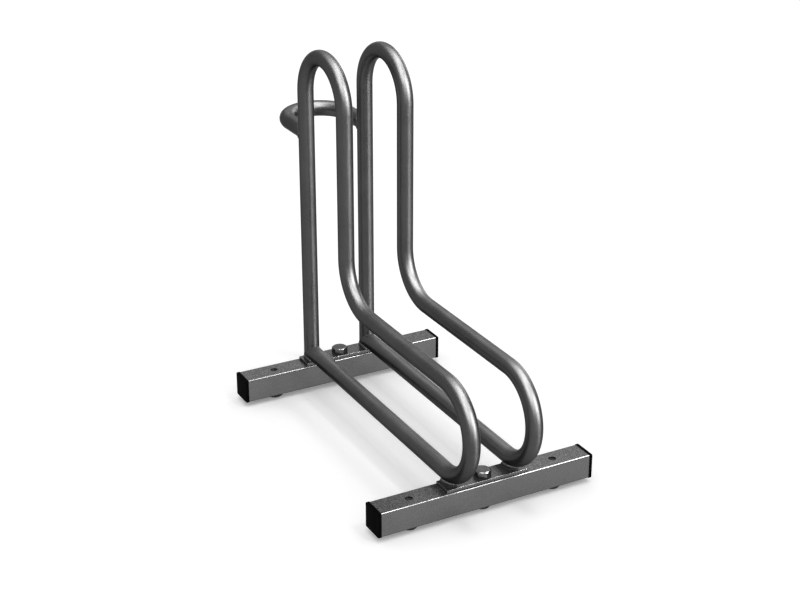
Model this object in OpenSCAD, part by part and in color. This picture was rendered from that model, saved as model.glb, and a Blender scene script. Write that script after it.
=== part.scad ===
// Bike rack for one wheel: two bent-tube hoops on two square crossbars.
// X runs along the crossbars, Y from the wheel entry to the back, Z up from the ground.

/* [Round tube] */
// Outside diameter of the bent tubes
tube_d = 20; // [16:0.5:24]
// Wall thickness of the bent tubes
tube_wall = 2; // [1:0.25:3]

/* [Hoops] */
// Clear slot between the two hoops, for the wheel
wheel_gap = 60; // [40:1:90]
// Height of the hoops over everything, measured from the plates
hoop_height = 420; // [330:1:600]
// Length of the hoops from front to back, over the tube
hoop_depth = 424; // [380:1:600]
// Height of the low front loop, over the tube
entry_height = 131; // [110:1:170]
// Width of the tall rear loop from front to back, over the tube
tower_width = 125; // [100:1:150]
// Bend radius where the low loop turns up into the tall one, at the tube's axis
knee_r = 56; // [40:1:80]

/* [Rear loop] */
// Height of the rear loop's axis above the plates
loop_height = 306; // [200:1:340]
// Reach of the rear loop behind the axis of the uprights, over the tube
loop_reach = 97; // [80:1:160]

/* [Crossbars] */
// Width and height of the square tube
bar_size = 30; // [28:1:50]
// Wall thickness of the square tube
bar_wall = 2; // [1.5:0.25:3]
// Outside corner radius of the square tube
bar_corner_r = 2.5; // [1:0.25:4]
// Length of each square tube, without its caps
bar_length = 272; // [240:1:600]
// How far the front crossbar's axis lies in front of where the low loops touch down
bar_ahead = 13.5; // [9:0.5:19]

/* [End caps] */
// Thickness of a cap's flange outside the tube
cap_flange = 4; // [2:0.5:6]
// Width of the bevel round the outer face of the flange
cap_bevel = 1; // [0.5:0.25:1.5]
// Depth of the plug inside the tube
plug_depth = 16; // [12:1:30]
// Wall thickness of the plug
plug_wall = 1.8; // [1:0.1:2.5]
// Height of the gripping ribs that stand out of the plug
rib_height = 1.2; // [0.6:0.1:2]
// Thickness of each gripping rib
rib_width = 1; // [0.6:0.1:1.4]
// Distance from one rib to the next
rib_pitch = 4; // [3:0.5:5]

/* [Mounting plates] */
// How far a plate stands out beyond the hoops at each end
plate_margin = 2.5; // [2.5:0.5:15]
// Width of a plate, along the hoops
plate_width = 25; // [24:1:28]
// Thickness of a plate
plate_thickness = 4; // [3:0.5:8]

/* [Fasteners] */
// Thread diameter of the plate bolts and of all nuts
thread_d = 12; // [10:1:12]
// Width across the flats of heads and nuts
wrench_size = 18; // [17:1:20]
// Height of the bolt heads
head_height = 7.5; // [5:0.5:9]
// Height of the nuts under the crossbars
nut_height = 6; // [5:0.5:12]
// Drilled size of the nuts under the anchor holes, ready for a thread
tapping_d = 10.2; // [9.5:0.1:10.6]
// Gap between a bolt and the holes it passes, all round
bolt_clearance = 0.5; // [0.2:0.1:1]

/* [Anchor holes] */
// Diameter of the anchor holes
anchor_d = 9; // [6:0.5:9]
// Distance from the end of a square tube to the axis of its anchor hole
anchor_inset = 42; // [30:1:50]

/* [Welds] */
// Height of the weld metal between a hoop and its plate
weld_rise = 3.5; // [2:0.25:5]
// Width that this weld covers on the plate, beyond the tube it touches
weld_foot = 2.2; // [1:0.1:2.4]
// Thickness of the weld metal where the rear loop meets an upright
loop_bead = 2; // [1:0.25:3]
// Height of the seam at a hoop's mitred corner, above the tube
seam_height = 0.8; // [0.4:0.1:1.5]
// Width of that seam
seam_width = 5; // [3:0.5:7]

/* [Hidden] */

$fn = 72;

// Small clearances and allowances
root_gap = 0.2;        // fit-up gap between a hoop and its plate, filled by weld metal
cope_gap = 0.2;        // fit-up gap between the rear loop and an upright, filled by weld metal
plug_clearance = 0.1;  // between the cap's ribs and the tube, all round
thread_clearance = 0.1; // between a bolt and its nut, all round
tip_setback = 0.5;     // from a bolt's end up to the underside of its nut
overrun = 1;           // how far a cutting tool runs past what it cuts
mitre_angle = 45;
hex_turn = 30;         // turns a hexagon's corner to the front
hex_sides = 6;
chamfer_angle = 30;    // bevel on the corners of heads and nuts
face_share = 0.95;     // round face of a head or nut, as a share of its width across flats
inner_corner_share = 0.25; // least inner corner of the square tube, as a share of its wall
tip_bevel_share = 0.1; // bevel on a bolt's end, as a share of its thread
rib_count = 3;
loop_weld_share = 0.9; // half the width of the loop's weld beads, as a share of the tube's radius
weld_fn = 240;         // finer rounds where a weld lies against a bend

// Round tube
tube_r = tube_d / 2;
bore_r = tube_r - tube_wall;

// Heights, from the ground up
bar_z = nut_height;
bar_mid_z = bar_z + bar_size / 2;
bar_top = bar_z + bar_size;
plate_top = bar_top + plate_thickness;
leg_z = plate_top + root_gap + tube_r;
entry_r = (entry_height - tube_d) / 2;
upper_leg_z = leg_z + 2 * entry_r;
tower_r = (tower_width - tube_d) / 2;
tower_z = plate_top + hoop_height - tube_r - tower_r;
loop_z = plate_top + loop_height;

// Places from front to back: the origin is midway between the foremost and rearmost tube
total_depth = hoop_depth - tube_r + loop_reach;
front_y = -total_depth / 2;
upright_y = front_y + hoop_depth - tube_r;
front_upright_y = upright_y - 2 * tower_r;
tower_y = upright_y - tower_r;
knee_y = front_upright_y - knee_r;
entry_y = front_y + tube_r + entry_r;
rear_bar_y = upright_y;
front_bar_y = entry_y - bar_ahead;

// Places from left to right
hoop_x = (wheel_gap + tube_d) / 2;
plate_length = 2 * (hoop_x + tube_r + plate_margin);
anchor_x = bar_length / 2 - anchor_inset;
loop_bend_y = upright_y + loop_reach - tube_r - hoop_x;

// Square tube and its caps
bar_bore = bar_size - 2 * bar_wall;
bar_bore_corner_r = max(bar_corner_r - bar_wall, bar_wall * inner_corner_share);
rib_size = bar_bore - 2 * plug_clearance;
plug_size = rib_size - 2 * rib_height;
plug_bore = plug_size - 2 * plug_wall;
rib_margin = (plug_depth - rib_count * rib_width - (rib_count - 1) * (rib_pitch - rib_width)) / 2;

// Heads, nuts and holes
hex_r = wrench_size / 2 / cos(chamfer_angle);
hex_face_r = face_share * wrench_size / 2;
hex_bevel = (hex_r - hex_face_r) * tan(chamfer_angle);
bolt_hole_r = thread_d / 2 + bolt_clearance;
bolt_length = plate_top - tip_setback;
tip_bevel = thread_d * tip_bevel_share;

// Welds: half the width of the tube at the height that the weld reaches
weld_grip = sqrt(tube_r * tube_r - pow(tube_r + root_gap - weld_rise, 2));
entry_outer_r = entry_r + tube_r;
weld_toe_y = entry_y - sqrt(pow(entry_outer_r, 2) - pow(entry_outer_r + root_gap - weld_rise, 2));

// A round rod along Y from y0 to y1
module rod_y(y0, y1, z, r) {
    translate([0, y0, z]) rotate([-90, 0, 0]) cylinder(h = y1 - y0, r = r);
}

// A round rod along Z from z0 to z1
module rod_z(y, z0, z1, r) {
    translate([0, y, z0]) cylinder(h = z1 - z0, r = r);
}

// A bend in the YZ plane; angles are counted from +Y towards +Z
module bend_yz(y, z, start, sweep, bend_r, r) {
    translate([0, y, z]) rotate([90, 0, 90]) rotate([0, 0, start])
        rotate_extrude(angle = sweep) translate([bend_r, 0]) circle(r = r);
}

// Everything on one side of the mitre plane: side 1 is above and behind it, -1 below and before
module mitre_side(side) {
    span = 2 * tube_d;
    translate([0, upright_y, leg_z]) rotate([-mitre_angle, 0, 0])
        translate([-span / 2, -span, side > 0 ? 0 : -span]) cube([span, 2 * span, span]);
}

// The mitred corner of a hoop at radius r: the lower leg from y0, and the upright up to z1
module corner(y0, z1, r) {
    difference() {
        rod_y(y0, upright_y + tube_d, leg_z, r);
        mitre_side(1);
    }
    difference() {
        rod_z(upright_y, leg_z - tube_d, z1, r);
        mitre_side(-1);
    }
}

// The whole run of a hoop at radius r, closed in itself
module hoop_run(r) {
    corner(entry_y, tower_z, r);
    bend_yz(entry_y, leg_z + entry_r, 90, 180, entry_r, r);
    rod_y(entry_y, knee_y, upper_leg_z, r);
    bend_yz(knee_y, upper_leg_z + knee_r, 270, 90, knee_r, r);
    rod_z(front_upright_y, upper_leg_z + knee_r, tower_z, r);
    bend_yz(tower_y, tower_z, 0, 180, tower_r, r);
}

module hoop(x) {
    color("#5b5e60") translate([x, 0, 0]) difference() {
        hoop_run(tube_r);
        hoop_run(bore_r);
    }
}

// The U of the rear loop at radius r, from the axis of one upright to the other
module loop_run(r) {
    for (side = [-1, 1])
        translate([side * hoop_x, 0, 0]) rod_y(upright_y, loop_bend_y, loop_z, r);
    translate([0, loop_bend_y, loop_z])
        rotate_extrude(angle = 180) translate([hoop_x, 0]) circle(r = r);
}

module rear_loop() {
    color("#5b5e60") difference() {
        loop_run(tube_r);
        loop_run(bore_r);
        for (side = [-1, 1]) translate([side * hoop_x, 0, 0])
            rod_z(upright_y, loop_z - tube_d, loop_z + tube_d, tube_r + cope_gap);
    }
}

// A square with rounded corners, round the origin
module rounded_square(size, corner_r) {
    core = size - 2 * corner_r;
    square([size, core], center = true);
    square([core, size], center = true);
    for (x = [-1, 1], y = [-1, 1]) translate([x * core / 2, y * core / 2]) circle(r = corner_r);
}

module crossbar(y) {
    color("#737678") difference() {
        translate([-bar_length / 2, y, bar_mid_z]) rotate([0, 90, 0])
            linear_extrude(bar_length) difference() {
                rounded_square(bar_size, bar_corner_r);
                rounded_square(bar_bore, bar_bore_corner_r);
            }
        translate([0, 0, bar_z - overrun]) {
            for (side = [-1, 1]) translate([side * anchor_x, y, 0])
                cylinder(h = bar_size + 2 * overrun, r = anchor_d / 2);
            translate([0, y, 0]) cylinder(h = bar_size + 2 * overrun, r = bolt_hole_r);
        }
    }
}

// Flange outline seen from one side, with its two outer corners bevelled
module flange_profile() {
    half = bar_size / 2;
    polygon([[-half, 0], [half, 0], [half, cap_flange - cap_bevel], [half - cap_bevel, cap_flange],
             [cap_bevel - half, cap_flange], [-half, cap_flange - cap_bevel]]);
}

module end_cap(side, y) {
    color("#17181a") translate([side * bar_length / 2, y, bar_mid_z]) rotate([0, side * 90, 0]) {
        intersection() {
            linear_extrude(cap_flange) rounded_square(bar_size, bar_corner_r);
            translate([0, bar_size, 0]) rotate([90, 0, 0]) linear_extrude(2 * bar_size) flange_profile();
            translate([-bar_size, 0, 0]) rotate([90, 0, 90]) linear_extrude(2 * bar_size) flange_profile();
        }
        translate([0, 0, -plug_depth]) difference() {
            union() {
                linear_extrude(plug_depth) square(plug_size, center = true);
                for (i = [0 : rib_count - 1])
                    translate([0, 0, rib_margin + i * rib_pitch])
                        linear_extrude(rib_width) rounded_square(rib_size, bar_bore_corner_r);
            }
            translate([0, 0, -overrun]) linear_extrude(plug_depth + overrun)
                square(plug_bore, center = true);
        }
    }
}

module plate(y) {
    color("#6b6e70") difference() {
        translate([-plate_length / 2, y - plate_width / 2, bar_top])
            cube([plate_length, plate_width, plate_thickness]);
        translate([0, y, bar_top - overrun])
            cylinder(h = plate_thickness + 2 * overrun, r = bolt_hole_r);
    }
}

// A hexagon of height h with its corners bevelled on top, and below if both is set
module hexagon(h, both) {
    low = both ? hex_bevel : 0;
    intersection() {
        rotate([0, 0, hex_turn]) cylinder(h = h, r = hex_r, $fn = hex_sides);
        rotate_extrude() polygon([[0, 0], [both ? hex_face_r : hex_r, 0], [hex_r, low],
                                  [hex_r, h - hex_bevel], [hex_face_r, h], [0, h]]);
    }
}

module plate_bolt(y) {
    color("#8a8d8f") translate([0, y, plate_top]) {
        hexagon(head_height, false);
        translate([0, 0, tip_bevel - bolt_length])
            cylinder(h = bolt_length - tip_bevel, r = thread_d / 2);
        translate([0, 0, -bolt_length])
            cylinder(h = tip_bevel, r1 = thread_d / 2 - tip_bevel, r2 = thread_d / 2);
    }
}

// A nut under the crossbar at y; the rack stands on these
module nut(x, y, bore_d) {
    color("#8a8d8f") translate([x, y, 0]) difference() {
        hexagon(nut_height, true);
        translate([0, 0, -overrun]) cylinder(h = nut_height + 2 * overrun, r = bore_d / 2);
    }
}

module bolt_nut(y) {
    nut(0, y, thread_d + 2 * thread_clearance);
}

module foot_nut(side, y) {
    nut(side * anchor_x, y, tapping_d);
}

// Cross-section of the weld metal along a hoop, standing on the plate
module weld_profile() {
    polygon([[-weld_grip - weld_foot, 0], [weld_grip + weld_foot, 0],
             [weld_grip, weld_rise], [-weld_grip, weld_rise]]);
}

// Weld metal from y0 to y1 under a hoop at x
module weld_run(y0, y1) {
    translate([0, y1, plate_top]) rotate([90, 0, 0]) linear_extrude(y1 - y0) weld_profile();
}

// Under the front bend, where the tube rises off the plate, the weld narrows to the front
module front_hoop_weld(x) {
    back_y = front_bar_y + plate_width / 2;
    color("#7a7d7f") translate([x, 0, 0]) difference() {
        intersection() {
            weld_run(weld_toe_y, back_y);
            translate([0, 0, plate_top]) linear_extrude(weld_rise)
                polygon([[-weld_foot, weld_toe_y], [weld_foot, weld_toe_y],
                         [weld_grip + weld_foot, back_y], [-weld_grip - weld_foot, back_y]]);
        }
        hoop_run(tube_r, $fn = weld_fn);
    }
}

// At the back the weld runs along the leg and round the foot of the upright
module rear_hoop_weld(x) {
    color("#7a7d7f") translate([x, 0, 0]) difference() {
        union() {
            weld_run(rear_bar_y - plate_width / 2, upright_y);
            translate([0, upright_y, plate_top])
                cylinder(h = weld_rise, r1 = tube_r + weld_foot, r2 = tube_r);
        }
        hoop_run(tube_r);
    }
}

// The seam round a hoop's mitred corner, above the weld on the plate
module corner_weld(x) {
    reach = 2 * tube_d;
    color("#7a7d7f") translate([x, 0, 0]) difference() {
        intersection() {
            corner(upright_y - reach, leg_z + reach, tube_r + seam_height);
            translate([0, upright_y, leg_z]) rotate([-mitre_angle, 0, 0])
                cube([reach, 2 * reach, seam_width], center = true);
            translate([-tube_d, upright_y - tube_d, plate_top + weld_rise]) cube(reach);
        }
        corner(upright_y - 2 * reach, leg_z + 2 * reach, tube_r);
    }
}

// Ring of weld metal seen along one of two crossing tubes, cut off at their sides
module bead_sector() {
    half = tube_r * loop_weld_share;
    intersection() {
        difference() {
            circle(r = tube_r + loop_bead);
            circle(r = tube_r);
        }
        translate([-half, 0]) square([2 * half, tube_d]);
    }
}

// Weld metal in the saddle between the rear loop and an upright: a bead above and one below,
// where the rings round both tubes cross; at the sides the tubes run flush into each other
module loop_weld(x) {
    color("#7a7d7f") translate([x, upright_y, loop_z]) for (below = [0, 1]) mirror([0, 0, below])
        intersection() {
            linear_extrude(tube_d) bead_sector();
            translate([0, tube_d, 0]) rotate([90, 0, 0]) linear_extrude(tube_d) bead_sector();
        }
}

crossbar(front_bar_y);  // front_crossbar
crossbar(rear_bar_y);  // rear_crossbar
end_cap(-1, front_bar_y);  // front_left_end_cap
end_cap(1, front_bar_y);  // front_right_end_cap
end_cap(-1, rear_bar_y);  // rear_left_end_cap
end_cap(1, rear_bar_y);  // rear_right_end_cap
plate(front_bar_y);  // front_plate
plate(rear_bar_y);  // rear_plate
hoop(-hoop_x);  // left_hoop
hoop(hoop_x);  // right_hoop
rear_loop();
plate_bolt(front_bar_y);  // front_plate_bolt
plate_bolt(rear_bar_y);  // rear_plate_bolt
bolt_nut(front_bar_y);  // front_bolt_nut
bolt_nut(rear_bar_y);  // rear_bolt_nut
foot_nut(-1, front_bar_y);  // front_left_foot_nut
foot_nut(1, front_bar_y);  // front_right_foot_nut
foot_nut(-1, rear_bar_y);  // rear_left_foot_nut
foot_nut(1, rear_bar_y);  // rear_right_foot_nut
front_hoop_weld(-hoop_x);  // front_left_hoop_weld
front_hoop_weld(hoop_x);  // front_right_hoop_weld
rear_hoop_weld(-hoop_x);  // rear_left_hoop_weld
rear_hoop_weld(hoop_x);  // rear_right_hoop_weld
corner_weld(-hoop_x);  // left_corner_weld
corner_weld(hoop_x);  // right_corner_weld
loop_weld(-hoop_x);  // left_loop_weld
loop_weld(hoop_x);  // right_loop_weld
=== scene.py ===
import math
import bmesh
import bpy
from mathutils import Matrix, Vector


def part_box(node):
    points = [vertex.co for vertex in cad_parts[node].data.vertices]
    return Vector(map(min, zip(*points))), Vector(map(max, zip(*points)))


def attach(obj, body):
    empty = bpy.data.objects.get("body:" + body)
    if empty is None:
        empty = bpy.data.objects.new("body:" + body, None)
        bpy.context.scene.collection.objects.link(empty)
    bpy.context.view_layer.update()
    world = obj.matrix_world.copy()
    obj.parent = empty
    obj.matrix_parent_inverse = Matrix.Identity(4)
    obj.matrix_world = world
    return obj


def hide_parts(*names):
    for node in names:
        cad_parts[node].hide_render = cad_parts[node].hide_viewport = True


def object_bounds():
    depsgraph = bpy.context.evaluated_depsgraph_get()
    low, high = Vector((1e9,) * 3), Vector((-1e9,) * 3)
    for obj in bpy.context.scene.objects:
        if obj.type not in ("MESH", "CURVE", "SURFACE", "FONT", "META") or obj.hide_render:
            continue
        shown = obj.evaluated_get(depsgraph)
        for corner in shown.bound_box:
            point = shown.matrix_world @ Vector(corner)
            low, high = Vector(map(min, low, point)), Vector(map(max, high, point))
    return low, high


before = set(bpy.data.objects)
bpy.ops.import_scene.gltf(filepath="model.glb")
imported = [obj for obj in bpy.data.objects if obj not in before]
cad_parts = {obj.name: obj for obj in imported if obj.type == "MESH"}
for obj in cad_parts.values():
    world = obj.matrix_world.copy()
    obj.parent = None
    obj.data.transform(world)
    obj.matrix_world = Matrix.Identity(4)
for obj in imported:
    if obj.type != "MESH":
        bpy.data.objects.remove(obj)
cadLow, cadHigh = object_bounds()
print("frame loaded:", len(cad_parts), "nodes")

# Sizes in metres that the frame's boxes give
hoopLow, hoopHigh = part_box("right_hoop")
rearPlateLow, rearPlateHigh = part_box("rear_plate")
frontPlateLow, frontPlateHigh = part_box("front_plate")
loopLow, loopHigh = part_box("rear_loop")
frontBarLow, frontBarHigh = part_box("front_crossbar")
boltLow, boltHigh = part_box("front_plate_bolt")
nutLow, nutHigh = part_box("front_bolt_nut")
tubeRadius = (hoopHigh.x - hoopLow.x) / 2
hoopX = (hoopHigh.x + hoopLow.x) / 2
sideX = {"left": -hoopX, "right": hoopX}
legZ = hoopLow.z + tubeRadius            # axis of the hoops' lower legs
rearY = hoopHigh.y - tubeRadius          # axis of the rear uprights
loopZ = (loopLow.z + loopHigh.z) / 2
plateTop = rearPlateHigh.z
barY = {"front": (frontPlateLow.y + frontPlateHigh.y) / 2, "rear": (rearPlateLow.y + rearPlateHigh.y) / 2}
barGap = barY["rear"] - barY["front"]
anchorX = sum(corner.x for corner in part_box("front_right_foot_nut")) / 2
acrossFlats = boltHigh.x - boltLow.x

near = 0.0001              # a vertex this close to a face or ring counts as lying on it
mergeDistance = 0.000005   # vertices closer than this become one


# Small helpers: every piece is started, shaped and finished the same way

def deselectAll():
    if bpy.context.object and bpy.context.object.mode != "OBJECT":
        bpy.ops.object.mode_set(mode="OBJECT")
    bpy.ops.object.select_all(action="DESELECT")


def selectOnly(piece):
    deselectAll()
    piece.select_set(True)
    bpy.context.view_layer.objects.active = piece


def startEditing(name):
    # the primitive just added becomes the piece, with its place in its mesh
    piece = bpy.context.object
    piece.name = piece.data.name = name
    bpy.ops.object.transform_apply(location=True, rotation=True, scale=True)
    bpy.ops.object.mode_set(mode="EDIT")
    return piece


def addCylinder(sides, radius, depth, middle):
    deselectAll()
    bpy.ops.mesh.primitive_cylinder_add(vertices=sides, radius=radius, depth=depth, location=middle)
    return bpy.context.object


def pickVerts(piece, rule):
    # selects the vertices that the rule keeps, in edit mode
    bpy.ops.mesh.select_mode(type="VERT")
    bpy.ops.mesh.select_all(action="DESELECT")
    mesh = bmesh.from_edit_mesh(piece.data)
    for vert in mesh.verts:
        vert.select_set(bool(rule(vert.co)))
    mesh.select_flush(True)
    bmesh.update_edit_mesh(piece.data)


def pickEdges(piece, rule):
    # selects the edges that the rule keeps, in edit mode
    bpy.ops.mesh.select_mode(type="EDGE")
    bpy.ops.mesh.select_all(action="DESELECT")
    mesh = bmesh.from_edit_mesh(piece.data)
    for edge in mesh.edges:
        if rule(edge):
            edge.select_set(True)
    bmesh.update_edit_mesh(piece.data)


def runsAlong(axis, least):
    # a rule for edges that run further than this along X, Y or Z (0, 1 or 2)
    return lambda edge: abs(edge.verts[0].co[axis] - edge.verts[1].co[axis]) > least


def bevelPicked(offset, steps):
    bpy.ops.mesh.bevel(offset=offset, segments=steps, affect="EDGES")


def bevelRims(piece, centre, radius, levels, offset, steps):
    # softens the rims that an upright hole has at these heights
    for level in levels:
        pickEdges(piece, lambda edge: all(abs((vert.co.xy - centre.xy).length - radius) < near
                                          and abs(vert.co.z - level) < near for vert in edge.verts))
        bevelPicked(offset, steps)


def applyAll(piece):
    selectOnly(piece)
    for modifier in list(piece.modifiers):
        bpy.ops.object.modifier_apply(modifier=modifier.name)


def cutWith(piece, cutter, operation="DIFFERENCE"):
    modifier = piece.modifiers.new("cut", "BOOLEAN")
    modifier.operation = operation
    modifier.solver = "EXACT"
    modifier.object = cutter
    applyAll(piece)
    bpy.data.objects.remove(cutter)


def tidyMesh(piece, angle, flatFaces=False):
    # merges doubles, turns the faces outwards and smooths all but the edges sharper than the angle
    selectOnly(piece)
    bpy.ops.object.mode_set(mode="EDIT")
    bpy.ops.mesh.select_all(action="SELECT")
    bpy.ops.mesh.remove_doubles(threshold=mergeDistance)
    bpy.ops.mesh.normals_make_consistent(inside=False)
    bpy.ops.object.mode_set(mode="OBJECT")
    bpy.ops.object.shade_smooth_by_angle(angle=math.radians(angle))
    if flatFaces:
        # large faces stay flat and the small ones of a rounding take up the turn
        even = piece.modifiers.new("even", "WEIGHTED_NORMAL")
        even.keep_sharp = True
        applyAll(piece)


# what the highlight lamps of each reach shine on
reachSlots = {"round": ("round_tube", "weld"),
              "flat": ("square_tube", "plate", "end_cap", "fastener"),
              "hexagon": ("fastener",)}
reachPieces = {reach: bpy.data.collections.new(reach + "Pieces") for reach in reachSlots}


def handOver(piece, material, slotName, *nodes):
    piece.data.materials.clear()
    piece.data.materials.append(material)
    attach(piece, "root")
    for reach, slotNames in reachSlots.items():
        if slotName in slotNames:
            reachPieces[reach].objects.link(piece)
    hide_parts(*nodes)
    return piece


def copyPiece(piece, name, move=(0, 0, 0), mirrorX=False):
    # a copy with its own mesh, moved or mirrored inside the mesh
    twin = piece.copy()
    twin.data = piece.data.copy()
    twin.name = twin.data.name = name
    bpy.context.collection.objects.link(twin)
    if mirrorX:
        twin.data.transform(Matrix.Scale(-1, 4, Vector((1, 0, 0))))
        twin.data.flip_normals()
    twin.data.transform(Matrix.Translation(Vector(move)))
    return twin


def handOverBoth(piece, rearName, material, slotName, nodeEnd):
    # the piece at the front and its copy at the rear
    handOver(copyPiece(piece, rearName, (0, barGap, 0)), material, slotName, "rear_" + nodeEnd)
    handOver(piece, material, slotName, "front_" + nodeEnd)


# Materials: every finish is nodes on Object coordinates, and the tubes' gloss follows their run

noiseBand = (0.3, 0.7)   # nearly all values of a noise lie in it


def grey(level):
    return (level, level, level, 1)


class Finish:
    # a node material in the making, with short calls for what all finishes need
    def __init__(self, name):
        self.material = bpy.data.materials.new(name)
        self.material.use_nodes = True
        self.nodes = self.material.node_tree.nodes
        self.links = self.material.node_tree.links
        self.shader = self.nodes["Principled BSDF"]
        self.place = self.add("TexCoord", "Object", {})

    def feed(self, socket, value):
        # links another node's output, or sets a fixed value
        if isinstance(value, bpy.types.NodeSocket):
            self.links.new(value, socket)
        else:
            socket.default_value = value

    def add(self, kind, output, sockets, **settings):
        # a new node, set and fed, of which one output is used
        node = self.nodes.new("ShaderNode" + kind)
        for name, value in settings.items():
            setattr(node, name, value)
        for name, value in sockets.items():
            self.feed(node.inputs[name], value)
        return node.outputs[output]

    def noise(self, scale, detail, roughness):
        return self.add("TexNoise", "Fac", {"Vector": self.place, "Scale": scale, "Detail": detail,
                                            "Roughness": roughness})

    def spread(self, source, toRange, fromRange=(0, 1)):
        return self.add("MapRange", "Result", {"Value": source, "From Min": fromRange[0],
                                               "From Max": fromRange[1], "To Min": toRange[0],
                                               "To Max": toRange[1]})

    def blend(self, factor, first, second):
        return self.add("Mix", "Result", {"Factor": factor, "A": first, "B": second}, data_type="RGBA")

    def compute(self, operation, first, second):
        return self.add("Math", "Value", {0: first, 1: second}, operation=operation)

    def bump(self, height, look):
        return self.add("Bump", "Normal", {"Height": height, "Strength": look["bump"],
                                           "Distance": look["bumpDepth"]})

    def cloudedTone(self, clouds, look, share=1.0):
        # drifts between the look's dark and light
        return self.blend(self.spread(clouds, (0, 1), look["cloudRange"]), grey(look["dark"] * share),
                          grey(look["light"] * share))

    def put(self, **sockets):
        for name, value in sockets.items():
            self.feed(self.shader.inputs[name.replace("_", " ")], value)
        return self.material


# clouds and grain are noises, each with its scale, detail and roughness
tubeFinish = {"dark": 0.046, "light": 0.061, "clouds": (14, 4, 0.6), "cloudRange": noiseBand,
              "grain": (1250, 1, 0.5), "speckleRange": (0.4, 0.7), "speckle": 0.25, "speckleTone": 1.6,
              "roughness": (0.25, 0.37), "bump": 0.35, "bumpDepth": 0.0005, "edgeTint": 0.42,
              "anisotropy": 0.6}


def makeTubeSteel():
    steel = Finish("satinTubeSteel")
    clouds = steel.noise(*tubeFinish["clouds"])
    grain = steel.noise(*tubeFinish["grain"])
    speckle = steel.spread(grain, (0, tubeFinish["speckle"]), tubeFinish["speckleRange"])
    tone = steel.blend(speckle, steel.cloudedTone(clouds, tubeFinish),
                       grey(tubeFinish["light"] * tubeFinish["speckleTone"]))
    mean = steel.compute("MULTIPLY", steel.compute("ADD", clouds, grain), 0.5)
    return steel.put(Base_Color=tone, Metallic=1.0,
                     Roughness=steel.spread(mean, tubeFinish["roughness"], noiseBand),
                     Normal=steel.bump(grain, tubeFinish),
                     Tangent=steel.add("Attribute", "Vector", {}, attribute_name="alongTube"),
                     Anisotropic=tubeFinish["anisotropy"], Specular_Tint=grey(tubeFinish["edgeTint"]))


# the bars' top speckle is painted highlight: light specks painted on the upper face stand in for the glints
# of light on its grain, and they grow to full share in the last bit below that face
# the bars' steel is given a lighter tone than the tubes' steel: painted light, for the brighter reflections
# that flat faces show
barFinish = {"dark": 0.107, "light": 0.123, "plateShare": 0.9, "clouds": (20, 4, 0.6),
             "cloudRange": noiseBand, "grain": (850, 1, 0.5), "speckleRange": (0.48, 0.72),
             "speckleTone": 1.9, "sideSpeckle": 0.05, "topPaintedGlint": 0.85, "paintedGlintStart": 0.0002,
             "paintedGlintFull": 0.00005, "roughness": (0.24, 0.32), "bump": 0.15, "bumpDepth": 0.0003,
             "edgeTint": 0.5}


def makeBarSteel(name, topHeight, share=1.0):
    # share darkens the whole finish
    steel = Finish(name)
    clouds = steel.noise(*barFinish["clouds"])
    grain = steel.noise(*barFinish["grain"])
    # painted highlight: the light specks are masked to the upper face, so the top reads brighter and glinting
    height = steel.add("SeparateXYZ", "Z", {"Vector": steel.place})
    paintedGlintMask = steel.spread(height, (barFinish["sideSpeckle"], barFinish["topPaintedGlint"]),
                            (topHeight - barFinish["paintedGlintStart"], topHeight - barFinish["paintedGlintFull"]))
    speckle = steel.spread(grain, (0, 1), barFinish["speckleRange"])
    tone = steel.blend(steel.compute("MULTIPLY", speckle, paintedGlintMask),
                       steel.cloudedTone(clouds, barFinish, share),
                       grey(barFinish["light"] * share * barFinish["speckleTone"]))
    return steel.put(Base_Color=tone, Metallic=1.0,
                     Roughness=steel.spread(grain, barFinish["roughness"], noiseBand),
                     Normal=steel.bump(grain, barFinish), Specular_Tint=grey(barFinish["edgeTint"]))


# the nuts' share is painted shade: the nuts sit under the bars, so their copy of the zinc is darkened for the
# shade there
zincFinish = {"dark": 0.105, "light": 0.135, "nutShadeShare": 0.42, "clouds": (180, 3, 0.6),
              "cloudRange": (0.35, 0.65), "grain": (1500, 2, 0.6), "roughness": (0.18, 0.32), "bump": 0.08,
              "bumpDepth": 0.0001, "edgeTint": 0.4}


def makeFastenerZinc(name, share=1.0):
    # share darkens the whole finish, and for the nuts it paints the shade under the bars
    zinc = Finish(name)
    clouds = zinc.noise(*zincFinish["clouds"])
    grain = zinc.noise(*zincFinish["grain"])
    return zinc.put(Base_Color=zinc.cloudedTone(clouds, zincFinish, share), Metallic=1.0,
                    Roughness=zinc.spread(grain, zincFinish["roughness"], noiseBand),
                    Normal=zinc.bump(grain, zincFinish), Specular_Tint=grey(zincFinish["edgeTint"]))


# the welds' dark tone is painted shade: the beads lie in the creases between tubes and plates, where the
# highlight lamps cast no shadow
weldFinish = {"dark": 0.03, "light": 0.05, "clouds": (320, 3, 0.6), "cloudRange": (0.35, 0.65),
              "grain": (1600, 2, 0.6), "roughness": (0.47, 0.65), "bump": 0.12, "bumpDepth": 0.0001}


def makeWeldMetal():
    metal = Finish("weldMetal")
    clouds = metal.noise(*weldFinish["clouds"])
    grain = metal.noise(*weldFinish["grain"])
    return metal.put(Base_Color=metal.cloudedTone(clouds, weldFinish), Metallic=1.0,
                     Roughness=metal.spread(clouds, weldFinish["roughness"], noiseBand),
                     Normal=metal.bump(grain, weldFinish))


capFinish = {"dark": 0.0025, "light": 0.0045, "clouds": (60, 3, 0.5), "cloudRange": (0.35, 0.65),
             "leatherScale": 1400, "roughness": (0.55, 0.65), "bump": 0.15, "bumpDepth": 0.0001,
             "gloss": 0.5, "bending": 1.03}


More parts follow.
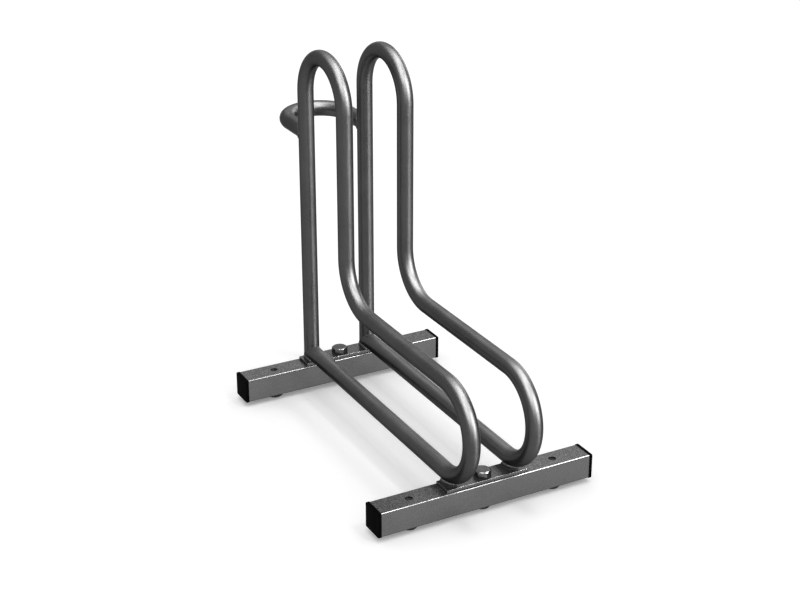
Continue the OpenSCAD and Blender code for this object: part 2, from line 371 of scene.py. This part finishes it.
def makeCapPlastic():
    plastic = Finish("mouldedCapPlastic")
    clouds = plastic.noise(*capFinish["clouds"])
    leather = plastic.add("TexVoronoi", "Distance", {"Vector": plastic.place,
                                                     "Scale": capFinish["leatherScale"]})
    return plastic.put(Base_Color=plastic.cloudedTone(clouds, capFinish),
                       Roughness=plastic.spread(clouds, capFinish["roughness"], noiseBand),
                       Normal=plastic.bump(leather, capFinish),
                       Specular_IOR_Level=capFinish["gloss"], IOR=capFinish["bending"])


tubeSteel = makeTubeSteel()
barSteel = makeBarSteel("satinBarSteel", frontBarHigh.z)
plateSteel = makeBarSteel("satinPlateSteel", frontPlateHigh.z, barFinish["plateShare"])
boltZinc = makeFastenerZinc("platedBolt")
# painted shade: the nuts get a darker copy of the bolts' zinc
shadedNutZinc = makeFastenerZinc("shadedPlatedNut", zincFinish["nutShadeShare"])
weldMetal = makeWeldMetal()
capPlastic = makeCapPlastic()
print("materials made")


# Hoops: one tube swept through its bends, its two ends joined in the mitred corner

hoopShape = {"entryHeight": 0.131, "towerWidth": 0.125, "kneeRadius": 0.056, "sides": 96, "bendStep": 4,
             "runStep": 0.02, "smoothAngle": 35}
entryRadius = hoopShape["entryHeight"] / 2 - tubeRadius
towerRadius = hoopShape["towerWidth"] / 2 - tubeRadius
kneeRadius = hoopShape["kneeRadius"]
entryY = hoopLow.y + tubeRadius + entryRadius
upperLegZ = legZ + 2 * entryRadius
kneeZ = upperLegZ + kneeRadius
towerZ = hoopHigh.z - tubeRadius - towerRadius
frontUprightY = rearY - 2 * towerRadius
kneeY = frontUprightY - kneeRadius


def runStraight(move):
    # extrudes the open ring along a straight stretch, in even steps
    steps = max(1, round(Vector(move).length / hoopShape["runStep"]))
    step = tuple(value / steps for value in move)
    for _ in range(steps):
        bpy.ops.mesh.extrude_region_move(TRANSFORM_OT_translate={"value": step})


def runBend(centre, axis, degrees):
    # sweeps the open ring round a bend
    steps = round(abs(degrees) / hoopShape["bendStep"])
    bpy.ops.mesh.spin(steps=steps, angle=-math.radians(degrees), center=centre, axis=axis)


def hoopDirection(spot):
    # direction of the tube's axis near a point of a hoop
    y, z = spot.y, spot.z
    reach = tubeRadius + near
    if z > towerZ:
        radial = Vector((0, y - (rearY - towerRadius), z - towerZ))
    elif y < entryY:
        radial = Vector((0, y - entryY, z - legZ - entryRadius))
    elif kneeY < y < frontUprightY + reach and upperLegZ - reach < z < kneeZ:
        radial = Vector((0, y - kneeY, z - kneeZ))
    elif z > kneeZ or y - rearY + z - legZ > 0:
        return Vector((0, 0, 1))
    else:
        return Vector((0, 1, 0))
    return Vector((0, -radial.z, radial.y)).normalized()


def writeDirection(piece, rule):
    values = piece.data.attributes.new("alongTube", "FLOAT_VECTOR", "POINT")
    for vert, entry in zip(piece.data.vertices, values.data):
        entry.vector = rule(vert.co)


def inUpright(spot):
    # no further forward or back than the rear upright
    return abs(spot.y - rearY) < tubeRadius + near


def inMitrePlane(spot):
    # on the slope where the lower leg and the rear upright meet
    return abs(spot.y - rearY + spot.z - legZ) < near


def startHoop(side):
    # the first ring lies in the mitre plane of the corner, so it is an ellipse
    deselectAll()
    bpy.ops.mesh.primitive_circle_add(vertices=hoopShape["sides"], radius=tubeRadius,
                                      location=(sideX[side], rearY, legZ), rotation=(math.radians(-45), 0, 0))
    bpy.context.object.scale = (1, math.sqrt(2), 1)
    piece = startEditing(side + "HoopTube")
    bpy.ops.mesh.select_all(action="SELECT")
    return piece


def buildHoop(side):
    piece = startHoop(side)
    x = sideX[side]
    cornerSize = 2 * tubeRadius              # from the corner to the first square ring of each leg
    legStartY = rearY - cornerSize
    uprightEndZ = legZ + cornerSize
    bpy.ops.mesh.extrude_region_move(TRANSFORM_OT_translate={"value": (0, -cornerSize, 0)})
    bpy.ops.transform.resize(value=(1, 0, 1), center_override=(x, legStartY, legZ))
    runStraight((0, entryY - legStartY, 0))
    runBend((x, entryY, legZ + entryRadius), (1, 0, 0), -180)
    runStraight((0, kneeY - entryY, 0))
    runBend((x, kneeY, kneeZ), (1, 0, 0), 90)
    runStraight((0, 0, towerZ - kneeZ))
    runBend((x, rearY - towerRadius, towerZ), (1, 0, 0), -180)
    runStraight((0, 0, uprightEndZ - towerZ))
    # the last ring of the upright and the mitre ring are joined
    pickVerts(piece, lambda spot: inUpright(spot)
              and (abs(spot.z - uprightEndZ) < near or inMitrePlane(spot)))
    bpy.ops.mesh.select_mode(type="EDGE")
    bpy.ops.mesh.bridge_edge_loops()
    bpy.ops.object.mode_set(mode="OBJECT")
    tidyMesh(piece, hoopShape["smoothAngle"])
    writeDirection(piece, hoopDirection)
    return handOver(piece, tubeSteel, "round_tube", side + "_hoop")


for side in sideX:
    hoop = buildHoop(side)
    print("hoop", side, "has", len(hoop.data.polygons), "faces")


# Rear loop: a U of the same tube, coped to the uprights

loopShape = {"copePlay": 0.0002, "copeHeight": 0.06}
loopBendY = loopHigh.y - tubeRadius - hoopX


def loopDirection(spot):
    # direction of the tube's axis near a point of the rear loop
    y = spot.y - loopBendY
    if y < 0:
        return Vector((0, 1, 0))
    return Vector((-y, spot.x, 0)).normalized()


def buildRearLoop():
    deselectAll()
    bpy.ops.mesh.primitive_circle_add(vertices=hoopShape["sides"], radius=tubeRadius, fill_type="NGON",
                                      location=(-hoopX, rearY, loopZ), rotation=(math.radians(90), 0, 0))
    piece = startEditing("rearLoopTube")
    bpy.ops.mesh.select_all(action="SELECT")
    runStraight((0, loopBendY - rearY, 0))
    runBend((0, loopBendY, loopZ), (0, 0, 1), -180)
    runStraight((0, rearY - loopBendY, 0))
    bpy.ops.object.mode_set(mode="OBJECT")
    tidyMesh(piece, hoopShape["smoothAngle"])
    for x in sideX.values():
        cutWith(piece, addCylinder(hoopShape["sides"], tubeRadius + loopShape["copePlay"],
                                   loopShape["copeHeight"], (x, rearY, loopZ)))
    tidyMesh(piece, hoopShape["smoothAngle"])
    writeDirection(piece, loopDirection)
    return handOver(piece, tubeSteel, "round_tube", "rear_loop")


rearLoop = buildRearLoop()
print("rear loop has", len(rearLoop.data.polygons), "faces")


# Plates: flat bars with softened edges and a bolt hole

plateShape = {"edgeRadius": 0.0004, "edgeSteps": 4, "holeRadius": 0.0065, "holeSides": 72, "drillDepth": 0.02,
              "holeBevel": 0.0004, "bevelSteps": 2, "smoothAngle": 35}


def buildPlate(place):
    low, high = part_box(place + "_plate")
    middle = (low + high) / 2
    deselectAll()
    bpy.ops.mesh.primitive_cube_add(size=1, location=middle, scale=high - low)
    piece = startEditing(place + "PlateBar")
    bpy.ops.mesh.select_all(action="SELECT")
    bevelPicked(plateShape["edgeRadius"], plateShape["edgeSteps"])
    radius = plateShape["holeRadius"]
    cutWith(piece, addCylinder(plateShape["holeSides"], radius, plateShape["drillDepth"], middle))
    bpy.ops.object.mode_set(mode="EDIT")
    bevelRims(piece, middle, radius, (low.z, high.z), plateShape["holeBevel"], plateShape["bevelSteps"])
    tidyMesh(piece, plateShape["smoothAngle"], True)
    return handOver(piece, plateSteel, "plate", place + "_plate")


for place in barY:
    plate = buildPlate(place)
    print(place, "plate has", len(plate.data.polygons), "faces")


# Crossbars: square tube with its bore, drilled from above for the bolt and the two anchors

barShape = {"corner": 0.0016, "cornerSteps": 6, "wall": 0.002, "boreCorner": 0.0006, "anchorRadius": 0.0045,
            "boltRadius": 0.0065, "holeSides": 64, "holeBevel": 0.0003, "bevelSteps": 2, "smoothAngle": 35}


def roundedBlock(name, middle, size, corner):
    # a block whose long edges, along X, are rounded
    deselectAll()
    bpy.ops.mesh.primitive_cube_add(size=1, location=middle, scale=size)
    piece = startEditing(name)
    pickEdges(piece, runsAlong(0, size.x / 2))
    bevelPicked(corner, barShape["cornerSteps"])
    return piece


def buildCrossbar():
    middle, size = (frontBarLow + frontBarHigh) / 2, frontBarHigh - frontBarLow
    piece = roundedBlock("frontCrossbarTube", middle, size, barShape["corner"])
    bore = size + Vector((1, -2, -2)) * barShape["wall"]     # longer than the tube and narrower by its walls
    cutWith(piece, roundedBlock("bore", middle, bore, barShape["boreCorner"]))
    holes = {0: barShape["boltRadius"], -anchorX: barShape["anchorRadius"], anchorX: barShape["anchorRadius"]}
    for x, radius in holes.items():
        cutWith(piece, addCylinder(barShape["holeSides"], radius, 2 * size.z, (x, middle.y, middle.z)))
    bpy.ops.object.mode_set(mode="EDIT")
    for x, radius in holes.items():
        bevelRims(piece, Vector((x, middle.y, 0)), radius, (frontBarLow.z, frontBarHigh.z),
                  barShape["holeBevel"], barShape["bevelSteps"])
    tidyMesh(piece, barShape["smoothAngle"], True)
    return piece


frontBar = buildCrossbar()
handOverBoth(frontBar, "rearCrossbarTube", barSteel, "square_tube", "crossbar")
print("crossbars made,", len(frontBar.data.polygons), "faces each")


# End caps: a soft-edged flange and a ribbed, hollow plug

capShape = {"corner": 0.0020, "cornerSteps": 8, "overhang": 0.0006, "rim": 0.0010, "rimSteps": 5,
            "depth": 0.016, "wall": 0.0018, "plugSize": 0.0234, "ribs": 3, "ribSize": 0.0258,
            "ribPitch": 0.004, "ribLead": 0.0018, "ribWidth": 0.0008, "ribStep": 0.0001, "smoothAngle": 40}


def pushOn(move, centre, share=1.0):
    # extrudes the picked face along X and widens or narrows it about the cap's axis
    bpy.ops.mesh.extrude_region_move(TRANSFORM_OT_translate={"value": (move, 0, 0)})
    if share != 1.0:
        bpy.ops.transform.resize(value=(1, share, share), center_override=centre)


def buildCap():
    low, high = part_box("front_right_end_cap")
    depth, plugSize, ribs = capShape["depth"], capShape["plugSize"], capShape["ribs"]
    inner = low.x + depth                    # where the flange meets the tube's end
    thick = high.x - inner
    size = high.z - low.z + 2 * capShape["overhang"]
    axis = Vector((inner, (low.y + high.y) / 2, (low.z + high.z) / 2))
    deselectAll()
    bpy.ops.mesh.primitive_cube_add(size=1, location=axis + Vector((thick / 2, 0, 0)),
                                    scale=(thick, size, size))
    piece = startEditing("frontRightCap")
    pickEdges(piece, runsAlong(0, thick / 2))
    bevelPicked(capShape["corner"], capShape["cornerSteps"])
    pickEdges(piece, lambda edge: all(abs(vert.co.x - high.x) < near for vert in edge.verts))
    bevelPicked(capShape["rim"], capShape["rimSteps"])
    # the plug grows inwards from the flange, with one rib after the other
    pickVerts(piece, lambda spot: abs(spot.x - inner) < near)
    bpy.ops.mesh.select_mode(type="FACE")
    swell = capShape["ribSize"] / plugSize
    pitch, lead, width, step = (capShape[name] for name in ("ribPitch", "ribLead", "ribWidth", "ribStep"))
    pushOn(0, axis, plugSize / size)
    pushOn(-(depth - (ribs - 1) * pitch - lead - width) / 2, axis)
    for rib in range(ribs):
        pushOn(-step, axis, swell)
        pushOn(-width, axis)
        pushOn(-lead, axis, 1 / swell)
        if rib < ribs - 1:
            pushOn(step + width + lead - pitch, axis)
    # then its end face goes back outwards as the floor of the hollow
    mesh = bmesh.from_edit_mesh(piece.data)
    pushOn(low.x - min(vert.co.x for vert in mesh.verts), axis)
    pushOn(0, axis, 1 - 2 * capShape["wall"] / plugSize)
    pushOn(depth - step, axis)
    tidyMesh(piece, capShape["smoothAngle"], True)
    return piece


frontRightCap = buildCap()
for name, move, mirrored, node in (("rearRightCap", (0, barGap, 0), False, "rear_right_end_cap"),
                                   ("rearLeftCap", (0, barGap, 0), True, "rear_left_end_cap"),
                                   ("frontLeftCap", (0, 0, 0), True, "front_left_end_cap")):
    handOver(copyPiece(frontRightCap, name, move, mirrored), capPlastic, "end_cap", node)
handOver(frontRightCap, capPlastic, "end_cap", "front_right_end_cap")
print("end caps made,", len(frontRightCap.data.polygons), "faces each")


# Fasteners: bevelled hexagons with real threads

threadShape = {"radius": 0.006, "pitch": 0.00175, "depth": 0.0009, "crestShare": 0.1, "flankShare": 0.75,
               "length": 0.017, "tipBevel": 0.0011, "play": 0.0001, "sides": 48, "rowsPerTurn": 10}
hexShape = {"faceShare": 0.95, "bevelAngle": 30, "cornerRadius": 0.0003, "cornerSteps": 2, "spare": 0.001,
            "washerHeight": 0.0004, "shankPlay": 0.0003, "shankOverlap": 0.0005, "turnSides": 96,
            "smoothAngle": 28}
faceRadius = hexShape["faceShare"] * acrossFlats / 2
fastenerCentre = Vector((0, barY["front"], 0))


def threadRadius(around, height, play):
    # radius of the thread at an angle round it and a height, with flat crests and roots
    turn = around / (2 * math.pi) - height / threadShape["pitch"]
    slope = abs((turn % 1) * 2 - 1)
    share = min(1, max(0, (slope - threadShape["crestShare"]) / threadShape["flankShare"]))
    return threadShape["radius"] + play - threadShape["depth"] * share


def buildThreadRod(name, centre, low, high, play=0.0, bevelled=False):
    # a solid rod whose rows of vertices take the helical form
    row = threadShape["pitch"] / threadShape["rowsPerTurn"]
    deselectAll()
    bpy.ops.mesh.primitive_circle_add(vertices=threadShape["sides"], radius=threadShape["radius"],
                                      fill_type="NGON", location=(centre.x, centre.y, low))
    rod = startEditing(name)
    bpy.ops.mesh.select_all(action="SELECT")
    for _ in range(round((high - low) / row)):
        bpy.ops.mesh.extrude_region_move(TRANSFORM_OT_translate={"value": (0, 0, row)})
    mesh = bmesh.from_edit_mesh(rod.data)
    for vert in mesh.verts:
        arm = vert.co.xy - centre.xy
        radius = threadRadius(math.atan2(arm.y, arm.x), vert.co.z, play)
        if bevelled:
            radius = min(radius, threadShape["radius"] - threadShape["tipBevel"] + vert.co.z - low)
        vert.co.xy = centre.xy + arm.normalized() * radius
    bmesh.update_edit_mesh(rod.data)
    bpy.ops.mesh.select_all(action="SELECT")
    bpy.ops.mesh.normals_make_consistent(inside=False)
    deselectAll()
    return rod


def buildHexagon(name, centre, low, high, bothEnds):
    # a hexagon prism with a corner to the front, cut to cones at its ends
    middle = (centre.x, centre.y, (low + high) / 2)
    addCylinder(6, acrossFlats / math.sqrt(3), high - low, middle)
    piece = startEditing(name)
    pickEdges(piece, runsAlong(2, near))
    bevelPicked(hexShape["cornerRadius"], hexShape["cornerSteps"])
    spare = hexShape["spare"]                # the cones stand out this far above and below
    widen = 1 / math.tan(math.radians(hexShape["bevelAngle"]))
    tall = high - low + 2 * spare
    narrow, wide = faceRadius - spare * widen, faceRadius + (tall - spare) * widen
    ends = [(wide, narrow), (narrow, wide)] if bothEnds else [(wide, narrow)]
    for lowerRadius, upperRadius in ends:
        deselectAll()
        bpy.ops.mesh.primitive_cone_add(vertices=hexShape["turnSides"], radius1=lowerRadius,
                                        radius2=upperRadius, depth=tall, location=middle)
        cutWith(piece, bpy.context.object, "INTERSECT")
    return piece


def buildPlateBolt():
    washer = hexShape["washerHeight"]
    headStart = plateTop + washer
    threadEnd = boltLow.z + threadShape["length"]
    shankStart = threadEnd - hexShape["shankOverlap"]
    bolt = buildHexagon("frontPlateBolt", fastenerCentre, headStart, boltHigh.z, False)
    face = addCylinder(hexShape["turnSides"], faceRadius, 2 * washer, (0, barY["front"], headStart))
    cutWith(bolt, face, "UNION")
    shank = addCylinder(threadShape["sides"], threadShape["radius"] - hexShape["shankPlay"],
                        headStart - shankStart, (0, barY["front"], (headStart + shankStart) / 2))
    cutWith(bolt, shank, "UNION")
    thread = buildThreadRod("boltThread", fastenerCentre, boltLow.z, threadEnd, bevelled=True)
    cutWith(bolt, thread, "UNION")
    tidyMesh(bolt, hexShape["smoothAngle"], True)
    return bolt


def buildNut():
    nut = buildHexagon("frontBoltNut", fastenerCentre, nutLow.z, nutHigh.z, True)
    pitch = threadShape["pitch"]
    cutWith(nut, buildThreadRod("threadTap", fastenerCentre, nutLow.z - pitch, nutHigh.z + pitch,
                                threadShape["play"]))
    tidyMesh(nut, hexShape["smoothAngle"], True)
    return nut


frontBolt = buildPlateBolt()
handOverBoth(frontBolt, "rearPlateBolt", boltZinc, "fastener", "plate_bolt")
boltNut = buildNut()
for place in barY:
    shift = barY[place] - barY["front"]
    for side, x in (("left", -anchorX), ("right", anchorX)):
        twin = copyPiece(boltNut, f"{place}{side.title()}FootNut", (x, shift, 0))
        handOver(twin, shadedNutZinc, "fastener", f"{place}_{side}_foot_nut")
handOverBoth(boltNut, "rearBoltNut", shadedNutZinc, "fastener", "bolt_nut")
print("bolts and nuts made,", len(frontBolt.data.polygons), "and", len(boltNut.data.polygons), "faces each")


# Welds: rippled beads, each a row of flattened drops fused along its seam

beadShape = {"pitchShare": 0.75, "thinShare": 0.6, "lean": 25, "voxelShare": 0.17, "pathPoints": 48,
             "dropSegments": 16, "dropRings": 10, "smoothAngle": 60}
footSeam = {"radius": 0.0023, "halfWidth": 0.0068, "height": 0.0013, "inset": 0.002, "frontRound": 0.0005,
            "frontTip": 0.0032, "rearRound": 0.005, "rearTip": 0.0113}
cornerSeam = {"radius": 0.0013, "sink": 0.0008, "halfTurn": 138}
saddleSeam = {"radius": 0.0018, "sideSink": 0.0010, "topRise": 0.0014}


def buildBead(name, points, radius, closed):
    # leaning drops in an even row, bent along the path and fused
    path = bpy.data.curves.new(name + "Path", "CURVE")
    path.dimensions = "3D"
    spline = path.splines.new("POLY")
    spline.points.add(len(points) - 1)
    for entry, spot in zip(spline.points, points):
        entry.co = (*spot, 1)
    spline.use_cyclic_u = closed
    track = bpy.data.objects.new(name + "Path", path)
    bpy.context.collection.objects.link(track)
    deselectAll()
    bpy.ops.mesh.primitive_uv_sphere_add(segments=beadShape["dropSegments"],
                                         ring_count=beadShape["dropRings"], radius=radius,
                                         location=(0, 0, 0),
                                         rotation=(0, math.radians(beadShape["lean"]), 0))
    bpy.context.object.scale = (beadShape["thinShare"], 1, 1)
    bead = startEditing(name)
    bpy.ops.object.mode_set(mode="OBJECT")
    row = bead.modifiers.new("row", "ARRAY")
    row.fit_type = "FIT_CURVE"
    row.curve = track
    row.use_relative_offset = False
    row.use_constant_offset = True
    row.constant_offset_displace = (radius * beadShape["pitchShare"], 0, 0)
    bend = bead.modifiers.new("bend", "CURVE")
    bend.object = track
    bend.deform_axis = "POS_X"
    fuse = bead.modifiers.new("fuse", "REMESH")
    fuse.mode = "VOXEL"
    fuse.voxel_size = radius * beadShape["voxelShare"]
    applyAll(bead)
    bpy.data.objects.remove(track)
    tidyMesh(bead, beadShape["smoothAngle"])
    return bead


def along(start, end):
    # even values from start to end
    count = beadShape["pathPoints"]
    return [start + (end - start) * index / (count - 1) for index in range(count)]


def footPath(startY, turnY, tipY):
    # a long U on the plate: along one side of the tube, round its end and back
    half = footSeam["halfWidth"]
    height = plateTop + footSeam["height"]
    arc = [(hoopX - half * math.cos(angle), turnY + (tipY - turnY) * math.sin(angle), height)
           for angle in along(0, math.pi)]
    return [(hoopX - half, startY, height)] + arc + [(hoopX + half, startY, height)]


def cornerPath():
    # the mitre ellipse of a hoop's corner, open where the foot's bead lies
    reach = tubeRadius - cornerSeam["sink"]
    halfTurn = math.radians(cornerSeam["halfTurn"])
    return [(hoopX + reach * math.sin(angle), rearY - reach * math.cos(angle), legZ + reach * math.cos(angle))
            for angle in along(-halfTurn, halfTurn)]


def saddlePath():
    # where the round of the rear loop meets the round of an upright, sunk at its sides
    spots = []
    for angle in along(0, 2 * math.pi)[:-1]:
        side, up = math.sin(angle), math.cos(angle)
        reach = tubeRadius - saddleSeam["sideSink"] + saddleSeam["topRise"] * abs(up)
        spots.append((hoopX + reach * side, rearY + reach * abs(up), loopZ + reach * up))
    return spots


def pieceName(nodeName):
    # left_hoop_weld becomes leftHoopWeld
    first, *others = nodeName.split("_")
    return first + "".join(word.title() for word in others)


frontStart = frontPlateHigh.y - footSeam["inset"]
frontFoot = footPath(frontStart, frontStart - footSeam["frontRound"], barY["front"] - footSeam["frontTip"])
rearFoot = footPath(rearPlateLow.y + footSeam["inset"], rearY + footSeam["rearRound"],
                    rearY + footSeam["rearTip"])
weldPlan = {"front_{}_hoop_weld": (frontFoot, footSeam["radius"], False),
            "rear_{}_hoop_weld": (rearFoot, footSeam["radius"], False),
            "{}_corner_weld": (cornerPath(), cornerSeam["radius"], False),
            "{}_loop_weld": (saddlePath(), saddleSeam["radius"], True)}
for nodeForm, (points, radius, closed) in weldPlan.items():
    leftNode, rightNode = nodeForm.format("left"), nodeForm.format("right")
    bead = buildBead(pieceName(rightNode), points, radius, closed)
    handOver(copyPiece(bead, pieceName(leftNode), mirrorX=True), weldMetal, "weld", leftNode)
    handOver(bead, weldMetal, "weld", rightNode)
    print(rightNode, "has", len(bead.data.polygons), "faces")


# Stage: pale floor, far lamps and the camera of the photo

stageLook = {"floorSize": 40.0, "floorDrop": 0.0002, "floorTone": 0.97, "floorRoughness": 0.9,
             "floorGlow": 0.18, "worldStrength": 0.76, "lampDistance": 3}


def shownRays(nodes, links):
    # 1 for the rays of the camera, of gloss and of glass, and 0 for the rays that light things
    path = nodes.new("ShaderNodeLightPath")
    seen = path.outputs["Is Camera Ray"]
    for kind in ("Is Glossy Ray", "Is Transmission Ray"):
        either = nodes.new("ShaderNodeMath")
        either.operation = "MAXIMUM"
        links.new(seen, either.inputs[0])
        links.new(path.outputs[kind], either.inputs[1])
        seen = either.outputs["Value"]
    return seen


def makeFloor():
    # a slight glow whitens the floor where it is seen and keeps its shadow
    deselectAll()
    bpy.ops.mesh.primitive_plane_add(size=stageLook["floorSize"],
                                     location=(0, 0, cadLow.z - stageLook["floorDrop"]))
    floor = bpy.context.object
    floor.name = "studioFloor"
    paint = Finish("paleFloor")
    glow = paint.spread(shownRays(paint.nodes, paint.links), (0, stageLook["floorGlow"]))
    floor.data.materials.append(paint.put(Base_Color=grey(stageLook["floorTone"]),
                                          Roughness=stageLook["floorRoughness"], Specular_IOR_Level=0.0,
                                          Emission_Color=grey(1.0), Emission_Strength=glow))


def makeWorld():
    # white where it is seen, and dimmer where it lights things
    world = bpy.data.worlds.new("studioWorld")
    bpy.context.scene.world = world
    world.use_nodes = True
    nodes, links = world.node_tree.nodes, world.node_tree.links
    background = nodes["Background"]
    background.inputs["Color"].default_value = grey(1.0)
    level = nodes.new("ShaderNodeMapRange")
    level.inputs["To Min"].default_value = stageLook["worldStrength"]
    level.inputs["To Max"].default_value = 1.0
    links.new(shownRays(nodes, links), level.inputs["Value"])
    links.new(level.outputs["Result"], background.inputs["Strength"])


# turn counts from straight ahead (-Y) towards +X, rise from the floor, and spread is the lamp's width
# reach "all" lights everything and "matt" draws no highlight
# "round", "flat" and "hexagon" only draw highlights, and on those pieces alone
lampPlan = {"keyLamp": {"turn": 33, "rise": 62, "spread": 6, "light": 0.26, "reach": "all"},
            "overheadLamp": {"turn": 0, "rise": 88, "spread": 14, "light": 0.42, "reach": "matt"},
            "frontSheen": {"turn": 38, "rise": 25, "spread": 50, "light": 5.6, "reach": "round"},
            "frontGlint": {"turn": 38, "rise": 25, "spread": 24, "light": 3.2, "reach": "round"},
            "lowSheen": {"turn": 38, "rise": 5, "spread": 24, "light": 0.8, "reach": "round"},
            "underSheen": {"turn": 33, "rise": -20, "spread": 12, "light": 2.0, "reach": "round"},
            "nearSheen": {"turn": 15, "rise": 30, "spread": 40, "light": 1.4, "reach": "round"},
            "leftSheen": {"turn": -15, "rise": 45, "spread": 40, "light": 5.0, "reach": "round"},
            "leftGlint": {"turn": -46, "rise": 51, "spread": 30, "light": 1.0, "reach": "round"},
            "topSheen": {"turn": 0, "rise": 75, "spread": 40, "light": 4.3, "reach": "round"},
            "overSheen": {"turn": 180, "rise": 80, "spread": 50, "light": 3.2, "reach": "round"},
            "sideSheen": {"turn": 90, "rise": 60, "spread": 40, "light": 6.0, "reach": "round"},
            "backSheen": {"turn": 120, "rise": 10, "spread": 30, "light": 3.2, "reach": "round"},
            "hindSheen": {"turn": 153, "rise": 30, "spread": 40, "light": 0.7, "reach": "round"},
            "edgeSheen": {"turn": 85, "rise": 58, "spread": 20, "light": 4.4, "reach": "flat"},
            "edgeGlint": {"turn": 60, "rise": 54, "spread": 20, "light": 3.2, "reach": "flat"},
            "rearSheen": {"turn": 152, "rise": 56, "spread": 40, "light": 0.5, "reach": "flat"},
            "floorSheen": {"turn": 30, "rise": -14, "spread": 20, "light": 0.6, "reach": "flat"},
            "headSheen": {"turn": 0, "rise": 88, "spread": 20, "light": 2.4, "reach": "hexagon"}}


def addLamp(name, plan):
    turn, rise, reach = math.radians(plan["turn"]), math.radians(plan["rise"]), plan["reach"]
    ray = Vector((math.sin(turn) * math.cos(rise), -math.cos(turn) * math.cos(rise), math.sin(rise)))
    light = bpy.data.lights.new(name, "SUN")
    light.energy = plan["light"]
    light.angle = math.radians(plan["spread"])
    light.use_shadow = reach in ("all", "matt")
    lamp = bpy.data.objects.new(name, light)
    bpy.context.collection.objects.link(lamp)
    lamp.location = ray * stageLook["lampDistance"]
    lamp.rotation_euler = ray.to_track_quat("Z", "Y").to_euler()
    lamp.visible_diffuse = reach in ("all", "matt")
    lamp.visible_glossy = reach != "matt"
    if reach in reachPieces:
        lamp.light_linking.receiver_collection = reachPieces[reach]


cameraPlan = {"focalPixels": 1609.61, "place": (-0.82840, -1.54894, 0.95572), "turn": -28.263, "tilt": 23.942,
              "frameWidth": 800, "sensor": 36}


def makeCamera():
    # the photo's camera, solved from the rack's straight edges and held without shift
    data = bpy.data.cameras.new("photoCamera")
    data.sensor_width = cameraPlan["sensor"]
    data.lens = cameraPlan["focalPixels"] / cameraPlan["frameWidth"] * cameraPlan["sensor"]
    camera = bpy.data.objects.new("photoCamera", data)
    bpy.context.collection.objects.link(camera)
    camera.location = cameraPlan["place"]
    camera.rotation_euler = (math.radians(90 - cameraPlan["tilt"]), 0, math.radians(cameraPlan["turn"]))
    bpy.context.scene.camera = camera


makeFloor()
makeWorld()
for lampName, plan in lampPlan.items():
    addLamp(lampName, plan)
makeCamera()
bpy.context.scene.view_settings.view_transform = "Standard"
print("stage,", len(lampPlan), "lamps and camera set")
